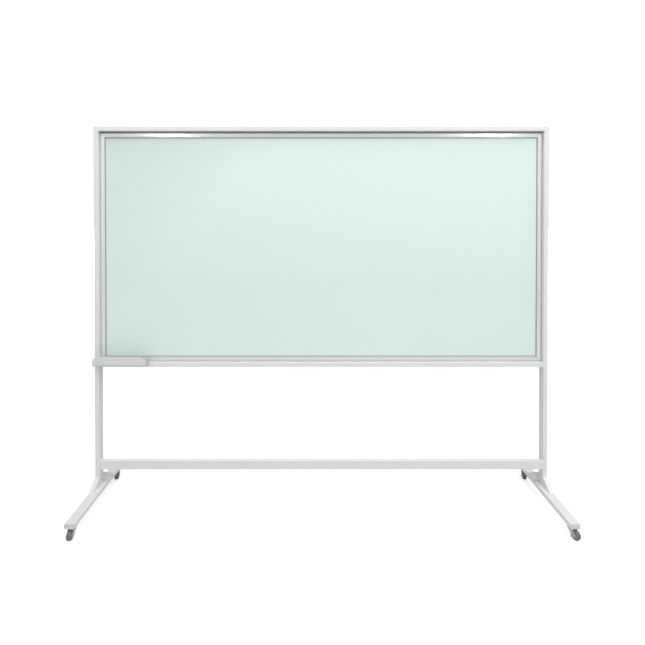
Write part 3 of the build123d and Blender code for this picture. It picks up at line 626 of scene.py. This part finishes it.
def solidOfTurn(section, segments, name, sunk=lambda x, y, along: 0.0):
    # section from the axis round to the axis, closed with pole fans; sunk presses a relief into it
    shape = bmesh.new()
    rows = []
    for along, radius in section:
        ring = []
        for i in range(segments if radius > 1e-7 else 1):
            turn = 2 * math.pi * i / segments
            x, y = radius * math.cos(turn), radius * math.sin(turn)
            ring.append(shape.verts.new((x, y, along - sunk(x, y, along))))
        rows.append(ring)
    for near, far in zip(rows, rows[1:]):
        for i in range(segments):
            a, b = near[i % len(near)], near[(i + 1) % len(near)]
            c, d = far[(i + 1) % len(far)], far[i % len(far)]
            shape.faces.new(list(dict.fromkeys((a, b, c, d))))
    return closeMesh(shape, name)


def screwMesh(look):
    # pan head with a cross recess over a threaded shank; the seat is at z = 0
    radius, height, shank = look["radius"], look["height"], look["shank"]
    end, threads, rim = -look["shankLength"], look["threads"], look["rimShare"]
    section = [(end, 0), (end + look["tip"], shank * 0.9)]
    for i in range(threads):
        start = end + look["tip"] + i * (look["shankLength"] - look["tip"] - 0.0004) / threads
        section += [(start + look["threadFoot"], shank * look["threadRoot"]),
                    (start + look["threadCrest"], shank)]
    section += [(0, shank * 0.95), (0, radius * 0.94), (0.0003, radius), (height * rim, radius)]
    for i in range(1, 6):
        bend = math.radians(90 * i / 6)
        section.append((height * (rim + look["crownShare"] * math.sin(bend)),
                        radius * (0.62 + 0.38 * math.cos(bend))))
    long, wide = look["recess"] / 2, look["recessWidth"] / 2
    for share in (1.04, 0.98, 0.8, 0.62, 0.46, 0.32, 0.2, 0.1):  # rings the recess is pressed into
        section.append((height * (1 - 0.03 * share), long * share))
    section.append((height, 0))

    def cross(x, y, along):
        inArm = min(abs(x), abs(y)) < wide and max(abs(x), abs(y)) < long
        return look["recessDepth"] if inArm and along > height * 0.9 else 0.0

    return solidOfTurn(section, look["segments"], "screw", cross)


def plugMesh(look):
    # snap-in plug with a flat rim and a shallow dish; its outer face is at z = 0
    radius, dish, inner = look["radius"], look["dish"], look["radius"] - look["rim"]
    section = [(-look["thickness"], 0), (-look["thickness"], radius * 0.96), (-0.0004, radius * 0.97),
               (-0.0001, radius * 0.96), (0, radius * 0.94), (0, inner), (-dish, inner - 0.0004),
               (-dish * 1.1, radius * 0.3), (-dish * 0.9, 0)]
    return solidOfTurn(section, look["segments"], "plug")


def placeMesh(places):
    mesh = bpy.data.meshes.new("places")
    mesh.from_pydata([place for place, facing in places], [], [])
    facing = mesh.attributes.new("facing", "FLOAT_VECTOR", "POINT")
    for i, (place, way) in enumerate(places):
        facing.data[i].vector = way
    return mesh


def islandPlaces(node, faceOut):
    # the middle of each separate solid of a node, moved onto its seat by faceOut
    shape = bmesh.new()
    shape.from_mesh(nodes[node].data)
    bmesh.ops.remove_doubles(shape, verts=shape.verts, dist=1e-6)
    left, found = set(shape.verts), []
    while left:
        stack, group = [left.pop()], []
        while stack:
            vert = stack.pop()
            group.append(vert.co.copy())
            for edge in vert.link_edges:
                other = edge.other_vert(vert)
                if other in left:
                    left.remove(other)
                    stack.append(other)
        low = Vector(min(p[i] for p in group) for i in range(3))
        high = Vector(max(p[i] for p in group) for i in range(3))
        found.append(faceOut(low, high))
    shape.free()
    return sorted(found, key=lambda item: tuple(round(v, 5) for v in item[0]))


fastenerTree = makeFastenerTree()


def setFasteners(name, prototype, places, seed, slot, replaced):
    part = bpy.data.objects.new("fastener", prototype)
    bpy.context.scene.collection.objects.link(part)
    mesh = growMesh(placeMesh(places), fastenerTree, {
        "Fastener": part, "Scale": 1.0, "Seed": seed, "Finish": finishes[slot]}, name)
    bpy.data.objects.remove(part)
    piece = newPiece(name, mesh, slot)
    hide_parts(replaced)
    return piece


def rearSeat(low, high):
    return Vector(((low.x + high.x) / 2, high.y - screwLook["height"], (low.z + high.z) / 2)), (0, 1, 0)


def frontSeat(low, high):
    return Vector(((low.x + high.x) / 2, low.y + screwLook["height"], (low.z + high.z) / 2)), (0, -1, 0)


def sideSeat(low, high):
    outward = 1 if low.x > 0 else -1
    face = high.x if outward > 0 else low.x
    return Vector((face, (low.y + high.y) / 2, (low.z + high.z) / 2)), (outward, 0, 0)


setFasteners("boardScrews", screwMesh(screwLook), islandPlaces("board_screws", rearSeat),
             screwLook["seed"], "zinc_steel", "board_screws")
setFasteners("trayScrews", screwMesh(screwLook), islandPlaces("tray_screws", frontSeat),
             screwLook["seed"] + 1, "zinc_steel", "tray_screws")
setFasteners("accessPlugs", plugMesh(plugLook), islandPlaces("access_hole_plugs", sideSeat),
             plugLook["seed"], "grey_plastic", "access_hole_plugs")
print("fasteners set")


# gasket round the glass: a flat web under the lip and a rounded nose beyond it
gasketShape = {
    "hidden": 0.0035,  # its outer edge inside the board frame's outer edge
    "lip": 0.022,
    "nose": 0.027,
    "noseFlat": 0.7,  # share of the nose before its rounding
    "noseSteps": 6,
}


def mitredRing(section, low, high):
    # closed (inset, depth) section carried round a rectangle in the XZ plane, with mitred corners
    shape = bmesh.new()
    rows = []
    for inset, depth in section:
        rows.append([shape.verts.new((x, depth, z)) for x, z in (
            (low.x + inset, low.z + inset), (high.x - inset, low.z + inset),
            (high.x - inset, high.z - inset), (low.x + inset, high.z - inset))])
    for i, near in enumerate(rows):
        far = rows[(i + 1) % len(rows)]
        for j in range(4):
            shape.faces.new((near[j], near[(j + 1) % 4], far[(j + 1) % 4], far[j]))
    return shape


def makeGasket(look):
    low = Vector(map(min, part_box("board_frame_left")[0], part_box("board_frame_bottom")[0]))
    high = Vector(map(max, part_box("board_frame_right")[1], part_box("board_frame_top")[1]))
    front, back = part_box("glass_gasket")[0].y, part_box("glass_gasket")[1].y
    section = [(look["hidden"], back), (look["hidden"], front), (look["lip"], front)]
    reach = look["nose"] - look["lip"]
    for i in range(look["noseSteps"] + 1):
        bend = math.radians(90 * i / look["noseSteps"])
        flat = look["noseFlat"]
        section.append((look["lip"] + reach * (flat + (1 - flat) * math.sin(bend)),
                        front + (back - front) * (0.95 - 0.9 * math.cos(bend))))
    section.append((look["nose"] - 0.0002, back))
    mesh = closeMesh(mitredRing(section, low, high), "gasketRun", 40)
    piece = newPiece("gasketRun", mesh, "gasket_rubber")
    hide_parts("glass_gasket")


makeGasket(gasketShape)
print("gasket made")


# casters
tyreShape = {
    "segments": 80,
    "band": 0.006,  # rubber outside the hub's rim
    "shoulder": 0.0035,
    "groove": 0.0005,
    "grooveHalf": 0.0006,
    "grooveAt": (0.0022, 0.0048),
    "sideRing": 0.0004,  # depth of the moulded ring, whose edges lie these heights above the bore
    "ringEdges": (0.0019, 0.0016, 0.0010, 0.0007),
    "chamfer": 0.0003,
}
hubShape = {
    "segments": 72,
    "bore": 0.00305, "boss": 0.0068, "web": 0.004,
    "ringIn": 0.0086, "ringOut": 0.0102, "ringRise": 0.0018,
    "rim": 0.003, "rimHalf": 0.009,
    "chamfer": 0.0003, "blend": 0.0012,
}


def wheelPlace(name):
    # the wheel's own frame: X along its axle, from the middles of the CAD pieces
    stemLow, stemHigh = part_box("caster_stem_" + name)
    tyreLow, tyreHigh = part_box("caster_tyre_" + name)
    swivel, wheel = (stemLow + stemHigh) / 2, (tyreLow + tyreHigh) / 2
    turn = math.atan2(wheel.x - swivel.x, swivel.y - wheel.y)
    return Matrix.Translation(wheel) @ Matrix.Rotation(turn, 4, "Z")


def tyreSection(look):
    low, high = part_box("caster_tyre_front_left")
    outer, half = (high.z - low.z) / 2, (high.x - low.x) / 2
    bore = outer - look["band"]
    points = [(0, outer)]
    groove, wide, tight = outer - look["groove"], look["grooveHalf"] * 1.3, look["grooveHalf"] * 0.5
    for at in look["grooveAt"]:
        points += [(at - wide, outer), (at - tight, groove), (at + tight, groove), (at + wide, outer)]
    corner = look["shoulder"]
    for i in range(9):
        bend = math.radians(90 * i / 8)
        points.append((half - corner + corner * math.sin(bend), outer - corner + corner * math.cos(bend)))
    sunk = half - look["sideRing"]
    points += [(along, bore + rise) for along, rise in zip((half, sunk, sunk, half), look["ringEdges"])]
    points.append((half - look["chamfer"], bore))
    return mirroredSection(points)


def hubSection(look):
    web, rise, rimHalf, boss = look["web"], look["ringRise"], look["rimHalf"], look["boss"]
    ringIn, ringOut, cut, blend = look["ringIn"], look["ringOut"], look["chamfer"], look["blend"]
    low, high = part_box("caster_hub_front_left")
    rimOut, bossHalf = (high.z - low.z) / 2, (high.x - low.x) / 2
    rimIn = rimOut - look["rim"]
    bends = [math.radians(90 * i / 4) for i in range(5)]
    points = [(0, rimOut), (rimHalf - cut, rimOut), (rimHalf, rimOut - cut), (rimHalf, rimIn + 0.0005),
              (rimHalf - 0.0005, rimIn)]
    points += [(web + blend * (1 - math.sin(bend)), rimIn - blend * (1 - math.cos(bend))) for bend in bends]
    points += [(web, ringOut + 0.0004), (web + rise * 0.3, ringOut), (web + rise - cut, ringOut),
               (web + rise, ringOut - cut), (web + rise, ringIn + cut), (web + rise - cut, ringIn),
               (web + rise * 0.3, ringIn), (web, ringIn - cut)]
    points += [(web + blend * (1 - math.cos(bend)), boss + blend * (1 - math.sin(bend))) for bend in bends]
    points += [(bossHalf - 0.0004, boss), (bossHalf, boss - 0.0004), (bossHalf, look["bore"])]
    return mirroredSection(points)


def makeWheels():
    for name in casterNames:
        place = wheelPlace(name)
        for piece, section, segments, slot in (
                ("tyre", tyreSection(tyreShape), tyreShape["segments"], "tyre_rubber"),
                ("hub", hubSection(hubShape), hubShape["segments"], "hub_plastic")):
            shape = turnedShape(section, segments, place)
            mesh = closeMesh(shape, piece + "_" + name, 35)
            wheel = newPiece(piece + "_" + name, mesh, slot, "wheel_" + name)
            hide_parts("caster_" + piece + "_" + name)


makeWheels()
print("wheels made")


# softened edges on the CAD nodes that show cut or folded metal
edgeLook = {
    "board_frame_left": 0.0006, "board_frame_right": 0.0006, "board_frame_top": 0.0006,
    "board_frame_bottom": 0.0006, "pen_tray": 0.0005, "tray_end_cap_left": 0.0006,
    "tray_end_cap_right": 0.0006,
}


def softenEdges(look):
    for name, width in look.items():
        node = nodes[name]
        weld = node.modifiers.new("weld", "WELD")
        weld.merge_threshold = 1e-6
        bevel = node.modifiers.new("soften", "BEVEL")
        bevel.width = width
        bevel.segments = 2
        bevel.limit_method = "ANGLE"
        bevel.angle_limit = math.radians(40)
        bevel.harden_normals = False


softenEdges(edgeLook)
print("edges softened")


# studio: pale floor, even white room and soft lights
studioLook = {
    "floorHalf": 60.0,
    "floorColours": ((0.68, 0.68, 0.68), (0.71, 0.71, 0.71)),
    "floorGlow": (0.75, 2.8),  # near and far, for the camera only, so the floor runs into the room
    "glowReach": (3.5, 11.0),
    "room": 0.38,
    "lights": {  # place, what it aims at, size, power
        "ceilingSoftbox": ((0.8, -1.2, 5.4), (0.1, -0.1, 0.0), (8.0, 6.0), 305),
        "frontSoftbox": ((0.8, -6.0, 2.8), (0, 0, 1.5), (12.0, 5.0), 68),
        "rightSoftbox": ((1.98, -2.7, 3.3), (0.6, 0.05, 1.6), (0.9, 0.5), 15),
        "leftSoftbox": ((-1.68, -2.7, 3.3), (-0.6, 0.05, 1.6), (0.9, 0.5), 9.5),
        "backSoftbox": ((-0.5, 6.5, 3.4), (0, 0, 1.2), (7.0, 4.0), 60),
        "rightGlint": ((1.95, -2.7, 2.57), (0.93, 0.05, 2.0), (0.22, 0.1), 2.5),
        "leftGlint": ((-1.7, -2.7, 2.57), (-0.85, 0.05, 2.0), (0.2, 0.1), 2.0),
    },
}


def makeStudio(look):
    half = look["floorHalf"]
    mesh = bpy.data.meshes.new("studioFloor")
    mesh.from_pydata([(-half, -half, 0), (half, -half, 0), (half, half, 0), (-half, half, 0)], [],
                     [(0, 1, 2, 3)])
    floor = bpy.data.objects.new("studioFloor", mesh)
    bpy.context.scene.collection.objects.link(floor)
    material = bpy.data.materials.new("studioFloorPaint")
    material.use_nodes = True
    tree = material.node_tree
    shader = tree.nodes["Principled BSDF"]
    place = tree.nodes.new("ShaderNodeTexCoord").outputs["Object"]
    grain = fillGroup(tree, surfaceGrain, {"Vector": place, "Grain scale": 3.0, "Drift scale": 0.4})
    colour = mixColours(tree, grain.outputs["Drift"], *look["floorColours"])
    tree.links.new(colour, shader.inputs["Base Color"])
    shader.inputs["Roughness"].default_value = 0.9
    shader.inputs["Specular IOR Level"].default_value = 0.1
    tree.links.new(colour, shader.inputs["Emission Color"])
    away = addNode(tree, "ShaderNodeVectorMath", {0: place}, operation="LENGTH")
    glow = addNode(tree, "ShaderNodeMapRange", {
        "Value": away.outputs["Value"], "From Min": look["glowReach"][0], "From Max": look["glowReach"][1],
        "To Min": look["floorGlow"][0], "To Max": look["floorGlow"][1]})
    path = tree.nodes.new("ShaderNodeLightPath")
    seen = multiply(tree, path.outputs["Is Camera Ray"], glow.outputs[0])
    tree.links.new(seen, shader.inputs["Emission Strength"])
    mesh.materials.append(material)

    world = bpy.data.worlds.new("studioRoom")
    bpy.context.scene.world = world
    world.use_nodes = True
    tree = world.node_tree
    light = tree.nodes["Background"]
    light.inputs["Color"].default_value = (1.0, 1.0, 1.0, 1.0)
    light.inputs["Strength"].default_value = look["room"]
    seen = addNode(tree, "ShaderNodeBackground", {"Color": (1.0, 1.0, 1.0, 1.0), "Strength": 1.0})
    path = tree.nodes.new("ShaderNodeLightPath")
    both = tree.nodes.new("ShaderNodeMixShader")
    tree.links.new(path.outputs["Is Camera Ray"], both.inputs[0])
    tree.links.new(light.outputs[0], both.inputs[1])
    tree.links.new(seen.outputs[0], both.inputs[2])
    tree.links.new(both.outputs[0], tree.nodes["World Output"].inputs["Surface"])

    for name, (place, aim, size, power) in look["lights"].items():
        data = bpy.data.lights.new(name, "AREA")
        data.shape = "RECTANGLE"
        data.size, data.size_y = size
        data.energy = power
        light = bpy.data.objects.new(name, data)
        light.location = place
        way = Vector(aim) - Vector(place)
        light.rotation_euler = way.to_track_quat("-Z", "Y").to_euler()
        bpy.context.scene.collection.objects.link(light)
    bpy.context.scene.view_settings.view_transform = "Standard"


makeStudio(studioLook)
print("studio set")
